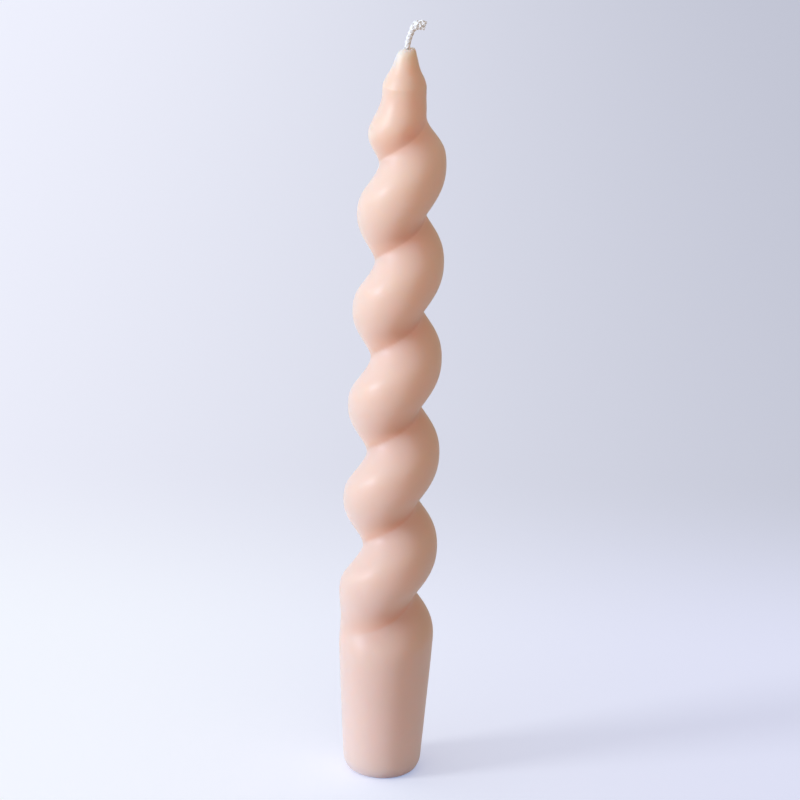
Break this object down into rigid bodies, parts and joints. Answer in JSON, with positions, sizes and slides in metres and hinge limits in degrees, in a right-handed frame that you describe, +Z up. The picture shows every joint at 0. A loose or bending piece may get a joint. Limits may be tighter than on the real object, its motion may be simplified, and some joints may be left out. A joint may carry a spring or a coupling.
{
  "type": "spiral taper candle",
  "caption": "Tall taper candle with a right-handed spiral ridge, a plain tapered butt that seats in a holder's cup, and a cotton wick that hooks over at the top.",
  "frame": {"origin": "centre of the flat foot", "axes": "+Z up the candle to the wick, +X the side the wick's end hooks over to, -Y the side the picture is taken from"},
  "size_m": [0.0263, 0.0263, 0.213],
  "materials": {
    "wax": "peach candle wax, satin, as cast",
    "wick_cotton": "plaited white cotton, lightly waxed"
  },
  "bodies": {
    "root": {"wax_body": "wax", "wick": "wick_cotton"}
  },
  "joints": []
}
